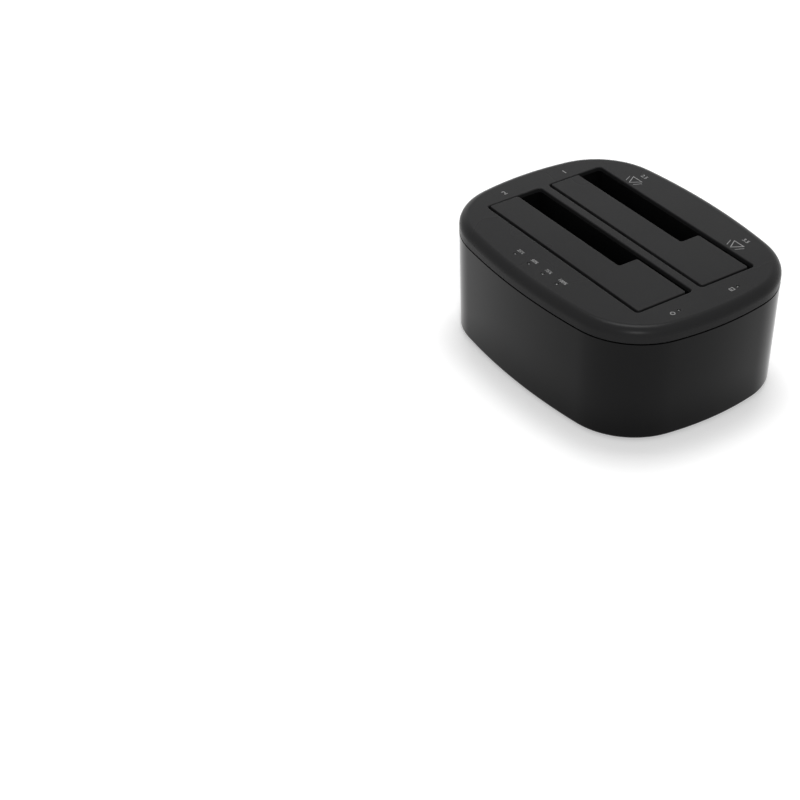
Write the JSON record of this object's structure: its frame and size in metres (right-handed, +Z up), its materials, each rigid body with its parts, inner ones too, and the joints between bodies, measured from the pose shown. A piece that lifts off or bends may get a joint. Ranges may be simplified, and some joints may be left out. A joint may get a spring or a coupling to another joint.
{
  "type": "drive duplicator",
  "caption": "Two-bay desktop drive dock and duplicator: glossy housing, matte lid with sprung L-shaped flaps over keyed wells, progress lights, rear sockets and buttons.",
  "frame": {"origin": "on the resting surface, under the middle of the housing", "axes": "+Z up through the bays, +X to the right end with the status lights, -Y to the front with the progress lights, +Y to the rear with the sockets and buttons"},
  "size_m": [0.141, 0.109, 0.0575],
  "materials": {
    "lid_plastic": "fine matte texture, dark grey",
    "gloss_black": "polished black",
    "black_plastic": "plain moulded black",
    "foot_rubber": "soft matte",
    "steel": "bright drawn",
    "zinc_steel": "zinc plated",
    "gold": "flash plated",
    "green_board": "solder mask",
    "blue_plastic": "moulded",
    "light_pipe": "clear moulded",
    "chip_white": "light chip",
    "chip_black": "moulded package",
    "ribbon_grey": "flat lead",
    "can_metal": "drawn can",
    "ferrite": "fired core"
  },
  "bodies": {
    "housing": {"base_plate": "black_plastic", "side_shell": "gloss_black", "top_cover": "lid_plastic", "well_frame": "black_plastic", "target_hinge_pin": "steel", "source_hinge_pin": "steel", "target_flap_spring": "steel", "source_flap_spring": "steel", "target_drive_socket": "black_plastic", "source_drive_socket": "black_plastic", "target_socket_contacts": "gold", "source_socket_contacts": "gold", "main_board": "green_board", "usb_socket_shell": "steel", "usb_socket_tongues": "blue_plastic", "dc_socket_housing": "black_plastic", "dc_socket_pin": "steel", "power_switch": "black_plastic", "clone_switch": "black_plastic", "progress_light_board": "green_board", "progress_light_chips": "chip_white", "progress_light_pipes": "light_pipe", "status_light_board": "green_board", "status_light_chips": "chip_white", "status_light_pipes": "light_pipe", "progress_light_ribbon": "ribbon_grey", "status_light_ribbon": "ribbon_grey", "ribbon_connectors": "black_plastic", "bridge_chip": "chip_black", "memory_chip": "chip_black", "timing_crystal": "can_metal", "power_coils": "ferrite", "filter_capacitors": "can_metal", "voltage_regulator": "chip_black", "rear_right_foot": "foot_rubber", "rear_left_foot": "foot_rubber", "front_left_foot": "foot_rubber", "front_right_foot": "foot_rubber", "case_screws": "zinc_steel", "board_screws": "zinc_steel", "well_frame_screws": "zinc_steel", "light_board_screws": "zinc_steel"},
    "target_flap": {"target_flap": "lid_plastic"},
    "source_flap": {"source_flap": "lid_plastic"},
    "power_button": {"power_button": "gloss_black"},
    "clone_button": {"clone_button": "gloss_black"}
  },
  "joints": [
    {"name": "target_flap_hinge", "type": "hinge", "parent": "housing", "child": "target_flap", "pos_m": [0, -0.03355, 0.0532], "axis": [-1, 0, 0], "range_deg": [0, 88], "stiffness_Nm_per_rad": 0.004, "springref_deg": -57.3, "deforming": ["target_flap_spring"]},
    {"name": "source_flap_hinge", "type": "hinge", "parent": "housing", "child": "source_flap", "pos_m": [0, 0.00075, 0.0532], "axis": [-1, 0, 0], "range_deg": [0, 88], "stiffness_Nm_per_rad": 0.004, "springref_deg": -57.3, "deforming": ["source_flap_spring"]},
    {"name": "power_button_push", "type": "slide", "parent": "housing", "child": "power_button", "axis": [0, -1, 0], "range_m": [0, 0.0018], "stiffness_N_per_m": 800, "springref_m": -0.0005},
    {"name": "clone_button_push", "type": "slide", "parent": "housing", "child": "clone_button", "axis": [0, -1, 0], "range_m": [0, 0.0009], "stiffness_N_per_m": 1500, "springref_m": -0.0003}
  ]
}
